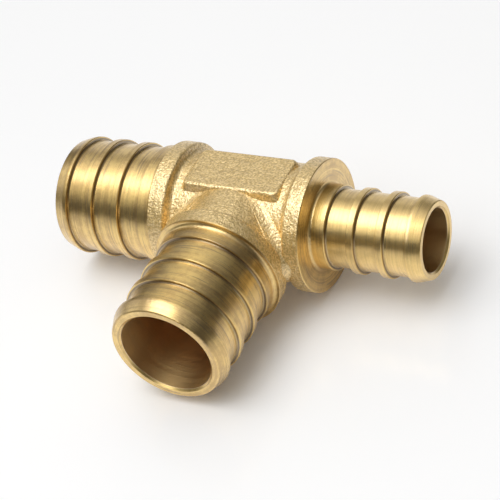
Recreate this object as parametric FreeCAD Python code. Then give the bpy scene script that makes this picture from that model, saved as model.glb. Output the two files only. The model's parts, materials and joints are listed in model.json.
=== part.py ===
import FreeCAD, Part
import math
import os

# A brass reducing tee for crimped plastic tube: two 3/4 inch ports and one 1/2 inch port.
# The body is forged in one piece, then the three ends are turned and the bores are drilled.
# Millimetres. The run lies along X, the branch points along -Y, and Z is up.
# The origin is where the axes of the run and the branch cross, on the forging's parting plane.

V = FreeCAD.Vector
tolerance = 0.001
ORIGIN = V(0, 0, 0)
UP = V(0, 0, 1)
RUN_LARGE = V(-1, 0, 0)
RUN_SMALL = V(1, 0, 0)
BRANCH = V(0, -1, 0)

# Forged body and its collars
body_radius = 8.15
collar_radius = 9.35
collar_face = 11.65
collar_width = 2.4
collar_flank = 0.45
collar_root_round = 0.85
collar_rim_round = 0.45
crotch_round = 1.3
crotch_start_angle = 15.0
crotch_path_steps = 24
web_rise = 1.15
web_narrowness = 6

# Flat pads above and below the crossing, measured on their flat faces
pad_length = 14.6
pad_width = 7.3
pad_height = 8.27
pad_corner_round = 0.9
pad_edge_round = 0.5
pad_draft_angle = 20.0

# Turned inserts: a land beside the collar, barbs, and a tapered end barb
centre_to_end = 27.8
land_length = 2.25
barb_pitch = 4.24
barb_width = 1.05
barb_count = 2
barb_flank = 0.08
root_bevel = 0.12
end_barb_land = 0.45
end_barb_round = 1.2
edge_bevel = 0.08

large_crest_radius = 8.5
large_groove_radius = 7.98
large_tip_radius = 7.83
large_tip_round = 0.28
large_root_round = 0.6
large_bore_radius = 6.6

small_crest_radius = 5.96
small_groove_radius = 5.43
small_tip_radius = 5.4
small_tip_round = 0.15
small_root_round = 0.4
small_bore_radius = 4.4

# Drilled bores
mouth_chamfer = 0.3
step_depth = 7.4
drill_point_angle = 118.0
cut_past_mouth = 1.0


def rounded_outline(corners):
    """A closed outline in the XY plane from (distance, radius, round) corners."""
    places = [V(distance, radius, 0) for distance, radius, size in corners]
    starts = []
    ends = []
    arcs = []
    for index, (distance, radius, size) in enumerate(corners):
        here = places[index]
        start = end = here
        arc = None
        if size > 0:
            back = (places[index - 1] - here).normalize()
            ahead = (places[(index + 1) % len(places)] - here).normalize()
            half_angle = back.getAngle(ahead) / 2
            reach = size / math.tan(half_angle)
            start = here + back * reach
            end = here + ahead * reach
            middle = here + (back + ahead).normalize() * (size / math.sin(half_angle) - size)
            arc = Part.Arc(start, middle, end).toShape()
        starts.append(start)
        ends.append(end)
        arcs.append(arc)
    edges = []
    for index, arc in enumerate(arcs):
        if arc:
            edges.append(arc)
        edges.append(Part.makeLine(ends[index], starts[(index + 1) % len(corners)]))
    return Part.Wire(edges)


def revolve(corners, direction):
    """Turn an outline of (distance along the axis, radius, round) about an axis through the origin."""
    solid = Part.Face(rounded_outline(corners)).revolve(ORIGIN, RUN_SMALL, 360)
    solid.Placement = FreeCAD.Placement(ORIGIN, FreeCAD.Rotation(RUN_SMALL, direction))
    return solid


def collar_corners():
    """The forged half: body, flank and collar rim, up to the turned face."""
    rim_start = collar_face - collar_width
    root = rim_start - collar_flank
    return [
        (0, 0, 0),
        (0, body_radius, 0),
        (root, body_radius, collar_root_round),
        (rim_start, collar_radius, collar_rim_round),
        (collar_face - edge_bevel, collar_radius, 0),
        (collar_face, collar_radius - edge_bevel, 0),
    ]


def barb_corners(inner, outer, crest, groove):
    """One barb with steep sides, bevelled at its edges and at its roots on the groove cylinder."""
    return [
        (inner - barb_flank - root_bevel, groove, 0),
        (inner - barb_flank, groove + root_bevel, 0),
        (inner, crest - edge_bevel, 0),
        (inner + edge_bevel, crest, 0),
        (outer - edge_bevel, crest, 0),
        (outer, crest - edge_bevel, 0),
        (outer + barb_flank, groove + root_bevel, 0),
        (outer + barb_flank + root_bevel, groove, 0),
    ]


def port(direction, crest, groove, tip, tip_round, root_round):
    """One arm of the tee: half of its body, its collar and its turned insert."""
    land_end = collar_face + land_length
    corners = collar_corners()
    corners += [
        (collar_face, crest, root_round),
        (land_end - edge_bevel, crest, 0),
        (land_end, crest - edge_bevel, 0),
        (land_end + barb_flank, groove + root_bevel, 0),
        (land_end + barb_flank + root_bevel, groove, 0),
    ]
    for index in range(1, barb_count + 1):
        outer = land_end + index * barb_pitch
        corners += barb_corners(outer - barb_width, outer, crest, groove)
    end_barb = land_end + (barb_count + 1) * barb_pitch - barb_width
    corners += [
        (end_barb - barb_flank - root_bevel, groove, 0),
        (end_barb - barb_flank, groove + root_bevel, 0),
        (end_barb, crest - edge_bevel, 0),
        (end_barb + edge_bevel, crest, 0),
        (end_barb + end_barb_land, crest, end_barb_round),
        (centre_to_end, tip, tip_round),
        (centre_to_end, 0, 0),
    ]
    return revolve(corners, direction)


def crotch(side):
    """The concave round between the branch and one side of the run.

    A level cut through the two bodies shows straight edges that meet in a corner. The round of
    that corner is carried along it, from just under the upper pad to just over the lower one.
    Halfway down, it rises into the web that joins the rims of the two collars.
    """
    start = math.radians(crotch_start_angle)
    turn = math.pi - 2 * start
    path_points = []
    for index in range(crotch_path_steps + 1):
        angle = start + turn * index / crotch_path_steps
        reach = body_radius * math.sin(angle) + web_rise * math.sin(angle) ** web_narrowness
        path_points.append(V(side * reach, -reach, body_radius * math.cos(angle)))
    path = Part.BSplineCurve()
    path.interpolate(path_points)

    corner = path_points[0]
    inside = corner.y / 2

    def at(across, along):
        return corner + V(side * across, along, 0)

    size = crotch_round
    sag = size * (1 - math.sqrt(0.5))
    arc = Part.Arc(at(size, 0), at(sag, -sag), at(0, -size))
    rest = Part.makePolygon([at(0, -size), at(inside, -size), at(inside, -inside), at(size, -inside), at(size, 0)])
    pipe = Part.BRepOffsetAPI.MakePipeShell(Part.Wire([path.toShape()]))
    pipe.setTrihedronMode(ORIGIN, UP)
    pipe.add(Part.Wire([arc.toShape()] + rest.Edges))
    pipe.build()
    pipe.makeSolid()
    return pipe.shape()


def rounded_rectangle(length, width, corner, height):
    """A level outline centred on the Z axis, with round corners."""
    x = length / 2 - corner
    y = width / 2 - corner
    edges = []
    for quarter, (sx, sy) in enumerate(((1, 1), (-1, 1), (-1, -1), (1, -1))):
        centre = V(sx * x, sy * y, height)
        turn = 90 * quarter
        edges.append(Part.makeCircle(corner, centre, UP, turn, turn + 90))
    lines = [Part.makeLine(edges[i].Vertexes[-1].Point, edges[(i + 1) % 4].Vertexes[0].Point) for i in range(4)]
    return Part.Wire(Part.sortEdges(edges + lines)[0])


def pads():
    """Drafted blocks that give the flat pads above and below the crossing."""
    spread = 2 * pad_height * math.tan(math.radians(pad_draft_angle))
    foot = rounded_rectangle(pad_length + spread, pad_width + spread, pad_corner_round, 0)
    top = rounded_rectangle(pad_length, pad_width, pad_corner_round, pad_height)
    block = Part.makeLoft([foot, top], True, True)
    top_edges = [edge for edge in block.Edges if edge.BoundBox.ZMin > pad_height - tolerance]
    block = block.makeFillet(pad_edge_round, top_edges)
    return [block, block.mirror(ORIGIN, UP)]


def bore(direction, radius):
    """A drilled hole from the crossing out of a port's mouth, with a chamfer at the mouth."""
    beyond = centre_to_end + cut_past_mouth
    return revolve([
        (0, 0, 0),
        (0, radius, 0),
        (centre_to_end - mouth_chamfer, radius, 0),
        (centre_to_end, radius + mouth_chamfer, 0),
        (beyond, radius + mouth_chamfer, 0),
        (beyond, 0, 0),
    ], direction)


def drill_point():
    """The large drill's blind end, where the run steps down to the small bore."""
    point_length = large_bore_radius / math.tan(math.radians(drill_point_angle / 2))
    return revolve([
        (0, 0, 0),
        (0, large_bore_radius, 0),
        (step_depth, large_bore_radius, 0),
        (step_depth + point_length, 0, 0),
    ], RUN_SMALL)


def tee_body():
    large = (large_crest_radius, large_groove_radius, large_tip_radius, large_tip_round, large_root_round)
    small = (small_crest_radius, small_groove_radius, small_tip_radius, small_tip_round, small_root_round)
    blank = port(RUN_LARGE, *large)
    for solid in [port(RUN_SMALL, *small), port(BRANCH, *large), crotch(-1), crotch(1)] + pads():
        blank = blank.fuse(solid)
    blank = blank.removeSplitter()
    for hole in (bore(RUN_LARGE, large_bore_radius), bore(BRANCH, large_bore_radius),
                 bore(RUN_SMALL, small_bore_radius), drill_point()):
        blank = blank.cut(hole)
    return blank.removeSplitter().Solids[0]


os.makedirs("parts", exist_ok=True)
tee = tee_body()
tee.exportStep("parts/tee_body.step")
print("valid", tee.isValid(), "faces", len(tee.Faces), "volume", round(tee.Volume, 2))
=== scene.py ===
import json
import math

import bpy
from mathutils import Matrix, Vector


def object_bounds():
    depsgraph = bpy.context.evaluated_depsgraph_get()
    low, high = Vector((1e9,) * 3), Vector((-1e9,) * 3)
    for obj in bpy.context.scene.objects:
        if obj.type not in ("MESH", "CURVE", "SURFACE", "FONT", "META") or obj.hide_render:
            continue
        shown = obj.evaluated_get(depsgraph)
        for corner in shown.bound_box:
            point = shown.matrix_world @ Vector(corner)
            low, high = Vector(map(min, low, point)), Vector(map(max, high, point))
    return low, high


# A brass reducing tee, lying on a white satin table under soft studio light.
# The forged body and collar rims are sandy; the inserts, the collar faces and the bores are turned.
# Blender lengths are metres. Lengths that end in _MM are millimetres, used inside the material.

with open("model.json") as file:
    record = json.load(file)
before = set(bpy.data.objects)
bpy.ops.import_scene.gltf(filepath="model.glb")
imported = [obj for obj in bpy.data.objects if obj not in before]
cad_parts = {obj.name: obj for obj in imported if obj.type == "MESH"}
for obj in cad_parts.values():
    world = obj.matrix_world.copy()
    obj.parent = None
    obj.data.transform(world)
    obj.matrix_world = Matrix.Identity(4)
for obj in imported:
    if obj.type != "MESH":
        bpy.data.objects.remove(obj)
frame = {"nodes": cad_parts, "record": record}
cad_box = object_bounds()

MM_PER_M = 1000.0

# Sizes of the fitting, by which the material tells its finishes apart
mount_radius = {mount["name"]: mount["dims"]["r_mm"] for mount in frame["record"]["mounts"]}
LARGE_BORE_MM = mount_radius["run_bore"]
SMALL_BORE_MM = mount_radius["small_bore"]
LARGE_BARB_MM = mount_radius["run_insert"]
SMALL_BARB_MM = mount_radius["small_insert"]
COLLAR_FACE_MM = 11.65
TURNED_RIM_MM = 0.1
TURNED_START_MM = COLLAR_FACE_MM - TURNED_RIM_MM
FLAT_ENDS_START_MM = 11.0
PAD_HEIGHT_MM = 8.27
BORE_STEP_MM = 8.0
BARBS_START_MM = 13.0
BARBS_END_MM = 27.2
BARBS_FADE_MM = 0.2
EDGE_BLUR_MM = 0.03
BORE_SLACK_MM = 0.05
FLAT_FACE_COSINE = 0.9999

# Colours of the brass
BRASS_TURNED = (0.88, 0.595, 0.15, 1.0)
BRASS_TURNED_DEEP = (0.58, 0.355, 0.07, 1.0)
BRASS_SCRATCHED = (0.34, 0.20, 0.05, 1.0)
BRASS_BORE = (0.80, 0.57, 0.26, 1.0)
BRASS_BORE_DEEP = (0.70, 0.385, 0.14, 1.0)
BRASS_CAST = (1.0, 0.73, 0.30, 1.0)
BRASS_CAST_DEEP = (0.66, 0.46, 0.14, 1.0)
# Painted shade, laid on the barbs' steep sides
BRASS_PAINTED_SHADE = (0.12, 0.07, 0.02, 1.0)

# Roughness of the brass, from the valleys of its lines or grains to their crests
INSERT_ROUGH = (0.26, 0.42)
LARGE_BORE_ROUGH = (0.38, 0.58)
SMALL_BORE_ROUGH = (0.30, 0.46)
CAST_ROUGH = (0.62, 0.40)

# Relief of the brass, in metres
RING_RELIEF = 0.00001
GRAIN_RELIEF = 0.00011

# How strongly the lumps, stains, rings on a face, scratches and the painted shade on the barbs count, and
# wear on the small insert
LUMP_WEIGHT = 1.6
STAIN_WEIGHT = 1.1
FACE_RING_WEIGHT = 0.7
SCRATCH_SHARE = 0.6
PAINTED_SHADE_SHARE = 0.85
SMALL_INSERT_WEAR = 0.5

# Spans over which a change of finish or of painted shade comes in: depths, distances from the crossing,
# cosines and noise
PAINTED_SHADE_DEPTH_SPAN_MM = (0.10, 0.25)
BORE_COLOUR_SPAN_MM = (20.0, 26.0)
STEEP_SPAN = (0.5, 0.85)
DARK_RING_SPAN = (1.32, 1.78)
SCRATCH_SPAN = (0.62, 0.76)
GRIT_COLOUR_SPAN = (0.35, 0.65)
ROUGHNESS_SPAN = (0.3, 0.7)

# Table
TABLE_HALF = 1.5
TABLE_COLOUR = (0.98, 0.98, 0.98, 1.0)
TABLE_ROUGH = 0.2
TABLE_LIFT = 0.05

# Room, by the ways from the fitting to its lighter parts, the cosines over which they come in, and levels
CEILING_WAY = (-0.15, 0.0, 0.99)
CEILING_SPAN = (0.3, 1.0)
CEILING_LEVEL = 0.8
SKYLIGHT_SPAN = (0.75, 1.0)
SKYLIGHT_LEVEL = 0.7
WALL_WAY = (-0.40, 0.90, 0.16)
WALL_SPAN = (0.85, 0.98)
WALL_LEVEL = 0.8
CARD_WAY = (-0.95, 0.03, 0.31)
CARD_SPAN = (0.92, 0.985)
CARD_LEVEL = 0.8
DIM_LEVEL = 0.11

# Softboxes, by their way from the fitting, their width and height, and their brightness against white
SOFTBOX_DISTANCE = 0.6
FRONT_WAY = (-0.06, -0.57, 0.82)
FRONT_SIZE = (0.30, 0.44)
FRONT_LEVEL = 1.8
OVERHEAD_WAY = (-0.24, -0.20, 0.95)
OVERHEAD_SIZE = (0.42, 0.42)
OVERHEAD_LEVEL = 2.1

# Camera, solved from the rib circles and end faces in the photograph
CAMERA_PLACE = Vector((0.12847, -0.17760, 0.17692))
CAMERA_TARGET = Vector((0.00272, -0.00668, 0.0))
CAMERA_ROLL_DEG = 17.04
CAMERA_LENS_MM = 145.1
CAMERA_NEAR = 0.01
SENSOR_MM = 36.0


class Shader:
    """Adds nodes to a material or a world, with sums written as short calls."""

    def __init__(self, owner):
        owner.use_nodes = True
        self.tree = owner.node_tree
        self.tree.nodes.clear()

    def node(self, kind, **settings):
        made = self.tree.nodes.new(kind)
        for key, value in settings.items():
            setattr(made, key, value)
        return made

    def put(self, socket, value):
        """Links a socket to another, or sets its value. None leaves it alone."""
        if isinstance(value, bpy.types.NodeSocket):
            self.tree.links.new(value, socket)
        elif value is not None:
            socket.default_value = value

    def maths(self, operation, first, second=None, third=None):
        made = self.node("ShaderNodeMath", operation=operation)
        for socket, value in zip(made.inputs, (first, second, third)):
            self.put(socket, value)
        return made.outputs[0]

    def vector(self, operation, first, second=None, scale=None):
        made = self.node("ShaderNodeVectorMath", operation=operation)
        self.put(made.inputs[0], first)
        self.put(made.inputs[1], second)
        if scale is not None:
            self.put(made.inputs["Scale"], scale)
        return made.outputs["Value"] if operation in ("LENGTH", "DOT_PRODUCT") else made.outputs["Vector"]

    def combine(self, x, y, z):
        made = self.node("ShaderNodeCombineXYZ")
        for socket, value in zip(made.inputs, (x, y, z)):
            self.put(socket, value)
        return made.outputs[0]

    def ramp(self, value, low, high, start=0.0, end=1.0):
        """Goes smoothly from start to end while value goes from low to high."""
        made = self.node("ShaderNodeMapRange", interpolation_type="SMOOTHSTEP")
        for socket, number in zip(made.inputs, (value, low, high, start, end)):
            self.put(socket, number)
        return made.outputs[0]

    def mix(self, share, first, second, kind="FLOAT"):
        made = self.node("ShaderNodeMix", data_type=kind)
        usable = [socket for socket in made.inputs if socket.enabled]
        for socket, value in zip(usable, (share, first, second)):
            self.put(socket, value)
        return [socket for socket in made.outputs if socket.enabled][0]

    def tint(self, share, first, second):
        return self.mix(share, first, second, "RGBA")

    def noise(self, place, scale, detail, roughness, w=None):
        made = self.node("ShaderNodeTexNoise", noise_dimensions="3D" if w is None else "4D")
        self.put(made.inputs["Vector"], place)
        if w is not None:
            self.put(made.inputs["W"], w)
        self.put(made.inputs["Scale"], scale)
        self.put(made.inputs["Detail"], detail)
        self.put(made.inputs["Roughness"], roughness)
        return made.outputs["Fac"]

    def rings(self, outward, ring_place, wander, scale, detail, roughness):
        """Noise drawn out into rings round a port. They change on the way round as wander says."""
        turning = self.vector("SCALE", outward, scale=wander)
        across = self.maths("MULTIPLY", ring_place, scale)
        return self.noise(turning, 1.0, detail, roughness, w=across)

    def bump(self, height, relief, normal):
        made = self.node("ShaderNodeBump")
        self.put(made.inputs["Strength"], 1.0)
        self.put(made.inputs["Distance"], relief)
        self.put(made.inputs["Height"], height)
        self.put(made.inputs["Normal"], normal)
        return made.outputs["Normal"]


class Place:
    """Where a point of the fitting lies, in millimetres, and how the surface faces there."""

    def __init__(self, s):
        self.point = s.vector("SCALE", s.node("ShaderNodeTexCoord").outputs["Object"], scale=MM_PER_M)
        parts = s.node("ShaderNodeSeparateXYZ")
        s.put(parts.inputs[0], self.point)
        self.x, self.y, self.z = parts.outputs
        self.from_run = s.combine(0.0, self.y, self.z)
        self.from_branch = s.combine(self.x, 0.0, self.z)
        self.on_small = s.maths("GREATER_THAN", self.x, COLLAR_FACE_MM)
        self.past_step = s.maths("GREATER_THAN", self.x, BORE_STEP_MM)
        self.find_port(s)
        self.find_facing(s)
        self.find_turned(s)

    def find_port(self, s):
        """The axis of the port that the point belongs to, and the way along it and out from it."""
        along_run = s.maths("ABSOLUTE", self.x)
        along_branch = s.maths("MULTIPLY", self.y, -1.0)
        on_branch = s.maths("GREATER_THAN", along_branch, along_run)
        self.axis = s.mix(on_branch, (1.0, 0.0, 0.0), (0.0, 1.0, 0.0), "VECTOR")
        self.along = s.maths("MAXIMUM", along_run, along_branch)
        self.outward = s.mix(on_branch, self.from_run, self.from_branch, "VECTOR")
        self.radius = s.vector("LENGTH", self.outward)

    def find_facing(self, s):
        """The way the surface faces. The flat ends and pads are shaded flat, and all the rest smooth."""
        geometry = s.node("ShaderNodeNewGeometry")
        facet = geometry.outputs["True Normal"]
        square_on = s.maths("ABSOLUTE", s.vector("DOT_PRODUCT", self.axis, facet))
        across_axis = s.maths("GREATER_THAN", square_on, FLAT_FACE_COSINE)
        near_end = s.maths("GREATER_THAN", self.along, FLAT_ENDS_START_MM)
        flat_end = s.maths("MULTIPLY", across_axis, near_end)
        flat_pad = s.maths("GREATER_THAN", s.maths("ABSOLUTE", self.z), PAD_HEIGHT_MM - EDGE_BLUR_MM)
        flat = s.maths("MAXIMUM", flat_end, flat_pad)
        self.facing = s.mix(flat, geometry.outputs["Normal"], facet, "VECTOR")

    def find_turned(self, s):
        """1 where the fitting is turned: past the collar faces, and inside the bores."""
        large_limit = LARGE_BORE_MM + BORE_SLACK_MM
        small_limit = SMALL_BORE_MM + BORE_SLACK_MM
        run_limit = s.mix(self.past_step, large_limit, small_limit)
        in_run = s.maths("LESS_THAN", s.vector("LENGTH", self.from_run), run_limit)
        near_branch_axis = s.maths("LESS_THAN", s.vector("LENGTH", self.from_branch), large_limit)
        branch_side = s.maths("LESS_THAN", self.y, 0.0)
        in_branch = s.maths("MULTIPLY", near_branch_axis, branch_side)
        self.in_bore = s.maths("MAXIMUM", in_run, in_branch)
        past_collar = s.ramp(self.along, TURNED_START_MM - EDGE_BLUR_MM, TURNED_START_MM + EDGE_BLUR_MM)
        self.turned = s.maths("MAXIMUM", past_collar, self.in_bore)


def cast_finish(s, at):
    """The forged surface, a blasted grit over soft lumps: tint, roughness, normal and tangent."""
    grit = s.noise(at.point, scale=3.3, detail=2.0, roughness=0.55)
    lumps = s.noise(at.point, scale=0.7, detail=3.0, roughness=0.6)
    tint = s.tint(s.ramp(grit, *GRIT_COLOUR_SPAN), BRASS_CAST_DEEP, BRASS_CAST)
    rough = s.ramp(grit, *ROUGHNESS_SPAN, *CAST_ROUGH)
    normal = s.bump(s.maths("MULTIPLY_ADD", lumps, LUMP_WEIGHT, grit), GRAIN_RELIEF, at.facing)

    # The grit has no lines, so its tangent points any way
    scatter = s.node("ShaderNodeTexNoise")
    s.put(scatter.inputs["Vector"], at.point)
    s.put(scatter.inputs["Scale"], 9.0)
    any_way = s.vector("SUBTRACT", scatter.outputs["Color"], (0.5, 0.5, 0.5))
    return tint, rough, normal, any_way


def painted_barb_shade(s, at):
    """Share of painted shade on the barbs' steep sides, below their crests and outside the bores."""
    axial = s.maths("ABSOLUTE", s.vector("DOT_PRODUCT", at.axis, at.facing))
    below_crest = s.maths("SUBTRACT", s.mix(at.on_small, LARGE_BARB_MM, SMALL_BARB_MM), at.radius)
    deep = s.ramp(below_crest, *PAINTED_SHADE_DEPTH_SPAN_MM)
    steep = s.maths("MULTIPLY", s.ramp(axial, *STEEP_SPAN), deep)
    past_land = s.ramp(at.along, BARBS_START_MM, BARBS_START_MM + BARBS_FADE_MM)
    before_tip = s.ramp(at.along, BARBS_END_MM - BARBS_FADE_MM, BARBS_END_MM, start=1.0, end=0.0)
    on_barbs = s.maths("MULTIPLY", past_land, before_tip)
    outside = s.maths("SUBTRACT", 1.0, at.in_bore)
    share = s.maths("MULTIPLY", s.maths("MULTIPLY", steep, on_barbs), outside)
    return s.maths("MULTIPLY", share, PAINTED_SHADE_SHARE)


def turned_finish(s, at):
    """The turned surface, with rings, stains, scratches and painted shade on the barbs: tint, roughness,
    normal and tangent.
    """
    # Turning lines and scratches run round each port, and stains lie anywhere
    ring_place = s.maths("MULTIPLY_ADD", at.radius, FACE_RING_WEIGHT, at.along)
    fine_rings = s.rings(at.outward, ring_place, wander=0.05, scale=6.0, detail=3.0, roughness=0.75)
    wide_rings = s.rings(at.outward, ring_place, wander=0.05, scale=1.7, detail=2.0, roughness=0.5)
    scratches = s.rings(at.outward, ring_place, wander=0.2, scale=4.5, detail=0.0, roughness=0.5)
    ring_height = s.maths("ADD", fine_rings, wide_rings)
    stains = s.noise(at.point, scale=0.5, detail=4.0, roughness=0.75)
    stained_rings = s.maths("MULTIPLY_ADD", stains, STAIN_WEIGHT, ring_height)

    # The small insert is cleaner than the two large ones
    wear = s.mix(at.on_small, 1.0, SMALL_INSERT_WEAR)
    dark_share = s.maths("MULTIPLY", s.ramp(stained_rings, *DARK_RING_SPAN), wear)
    scratch_share = s.maths("MULTIPLY", s.ramp(scratches, *SCRATCH_SPAN, end=SCRATCH_SHARE), wear)

    ring_tint = s.tint(dark_share, BRASS_TURNED, BRASS_TURNED_DEEP)
    insert_tint = s.tint(scratch_share, ring_tint, BRASS_SCRATCHED)
    bore_tint = s.tint(s.ramp(at.along, *BORE_COLOUR_SPAN_MM), BRASS_BORE_DEEP, BRASS_BORE)
    unshaded_tint = s.tint(at.in_bore, insert_tint, bore_tint)
    # Painted shade darkens the barbs' steep sides
    tint = s.tint(painted_barb_shade(s, at), unshaded_tint, BRASS_PAINTED_SHADE)

    insert_rough = s.ramp(fine_rings, *ROUGHNESS_SPAN, *INSERT_ROUGH)
    large_bore_rough = s.ramp(fine_rings, *ROUGHNESS_SPAN, *LARGE_BORE_ROUGH)
    small_bore_rough = s.ramp(fine_rings, *ROUGHNESS_SPAN, *SMALL_BORE_ROUGH)
    bore_rough = s.mix(at.past_step, large_bore_rough, small_bore_rough)
    rough = s.mix(at.in_bore, insert_rough, bore_rough)

    normal = s.bump(ring_height, RING_RELIEF, at.facing)
    around = s.vector("NORMALIZE", s.vector("CROSS_PRODUCT", at.axis, at.outward))
    across_lines = s.vector("NORMALIZE", s.vector("CROSS_PRODUCT", around, at.facing))
    return tint, rough, normal, across_lines


def brass():
    """One brass in two finishes, told apart by where a point lies on the fitting."""
    metal = bpy.data.materials.new("brass")
    s = Shader(metal)
    at = Place(s)
    cast_tint, cast_rough, cast_normal, any_way = cast_finish(s, at)
    turned_tint, turned_rough, turned_normal, across_lines = turned_finish(s, at)
    normal = s.mix(at.turned, cast_normal, turned_normal, "VECTOR")
    surface = s.node("ShaderNodeBsdfPrincipled")
    s.put(surface.inputs["Base Color"], s.tint(at.turned, cast_tint, turned_tint))
    s.put(surface.inputs["Roughness"], s.mix(at.turned, cast_rough, turned_rough))
    s.put(surface.inputs["Normal"], normal)
    s.put(surface.inputs["Coat Normal"], normal)
    s.put(surface.inputs["Tangent"], s.mix(at.turned, any_way, across_lines, "VECTOR"))
    surface.inputs["Metallic"].default_value = 1.0
    surface.inputs["Anisotropic"].default_value = 0.6
    surface.inputs["Coat Weight"].default_value = 0.8
    surface.inputs["Coat Roughness"].default_value = 0.25
    surface.inputs["Coat IOR"].default_value = 2.4
    output = s.node("ShaderNodeOutputMaterial")
    s.put(output.inputs["Surface"], surface.outputs[0])
    return metal


def table_top():
    """A white satin surface, lifted to plain white round the fitting's soft shadow."""
    white = bpy.data.materials.new("white_table")
    s = Shader(white)
    surface = s.node("ShaderNodeBsdfPrincipled")
    surface.inputs["Base Color"].default_value = TABLE_COLOUR
    surface.inputs["Roughness"].default_value = TABLE_ROUGH
    rays = s.node("ShaderNodeLightPath")
    seen = s.maths("MAXIMUM", rays.outputs["Is Camera Ray"], rays.outputs["Is Glossy Ray"])
    lift = s.node("ShaderNodeEmission")
    s.put(lift.inputs["Strength"], s.maths("MULTIPLY", seen, TABLE_LIFT))
    both = s.node("ShaderNodeAddShader")
    s.put(both.inputs[0], surface.outputs[0])
    s.put(both.inputs[1], lift.outputs[0])
    output = s.node("ShaderNodeOutputMaterial")
    s.put(output.inputs["Surface"], both.outputs[0])
    return white


def table():
    """A wide level plane just where the three collars touch."""
    half = TABLE_HALF
    level = cad_box[0].z
    mesh = bpy.data.meshes.new("table")
    corners = [(-half, -half, level), (half, -half, level), (half, half, level), (-half, half, level)]
    mesh.from_pydata(corners, [], [(0, 1, 2, 3)])
    mesh.materials.append(table_top())
    made = bpy.data.objects.new("table", mesh)
    bpy.context.scene.collection.objects.link(made)


def room():
    """A dim room, lighter overhead, with a pale wall behind the fitting and a pale card at its left."""
    world = bpy.data.worlds.new("room")
    bpy.context.scene.world = world
    s = Shader(world)
    way = s.node("ShaderNodeTexCoord").outputs["Generated"]

    def towards(part_way):
        """1 straight towards a part of the room, and less all round it."""
        return s.vector("DOT_PRODUCT", way, tuple(Vector(part_way).normalized()))

    upward = towards(CEILING_WAY)
    ceiling = s.ramp(upward, *CEILING_SPAN, start=DIM_LEVEL, end=CEILING_LEVEL)
    skylight = s.ramp(upward, *SKYLIGHT_SPAN, end=SKYLIGHT_LEVEL)
    wall = s.ramp(towards(WALL_WAY), *WALL_SPAN, end=WALL_LEVEL)
    card = s.ramp(towards(CARD_WAY), *CARD_SPAN, end=CARD_LEVEL)
    level = s.maths("ADD", s.maths("ADD", ceiling, skylight), s.maths("ADD", wall, card))
    background = s.node("ShaderNodeBackground")
    s.put(background.inputs["Strength"], level)
    output = s.node("ShaderNodeOutputWorld")
    s.put(output.inputs["Surface"], background.outputs[0])


def softbox(name, towards, size, level):
    """A soft light on the way out from the fitting, facing it, as bright as level times a white page."""
    light = bpy.data.lights.new(name, "AREA")
    light.shape = "RECTANGLE"
    light.size, light.size_y = size
    light.energy = level * math.pi * size[0] * size[1]
    lamp = bpy.data.objects.new(name, light)
    way = Vector(towards).normalized()
    lamp.location = way * SOFTBOX_DISTANCE
    lamp.rotation_mode = "QUATERNION"
    lamp.rotation_quaternion = (-way).to_track_quat("-Z", "Y")
    bpy.context.scene.collection.objects.link(lamp)


def camera():
    """The photograph's camera, which aims at the target and is then rolled."""
    view = bpy.data.cameras.new("camera")
    view.sensor_width = SENSOR_MM
    view.lens = CAMERA_LENS_MM
    view.clip_start = CAMERA_NEAR
    made = bpy.data.objects.new("camera", view)
    aim = (CAMERA_TARGET - CAMERA_PLACE).to_track_quat("-Z", "Y").to_matrix().to_4x4()
    roll = Matrix.Rotation(math.radians(-CAMERA_ROLL_DEG), 4, "Z")
    made.matrix_world = Matrix.Translation(CAMERA_PLACE) @ aim @ roll
    bpy.context.scene.collection.objects.link(made)
    bpy.context.scene.camera = made


for node in frame["nodes"].values():
    for slot in node.material_slots:
        slot.material = brass()

table()
room()
softbox("front_softbox", FRONT_WAY, FRONT_SIZE, FRONT_LEVEL)
softbox("overhead_softbox", OVERHEAD_WAY, OVERHEAD_SIZE, OVERHEAD_LEVEL)
camera()
bpy.context.scene.view_settings.view_transform = "Standard"
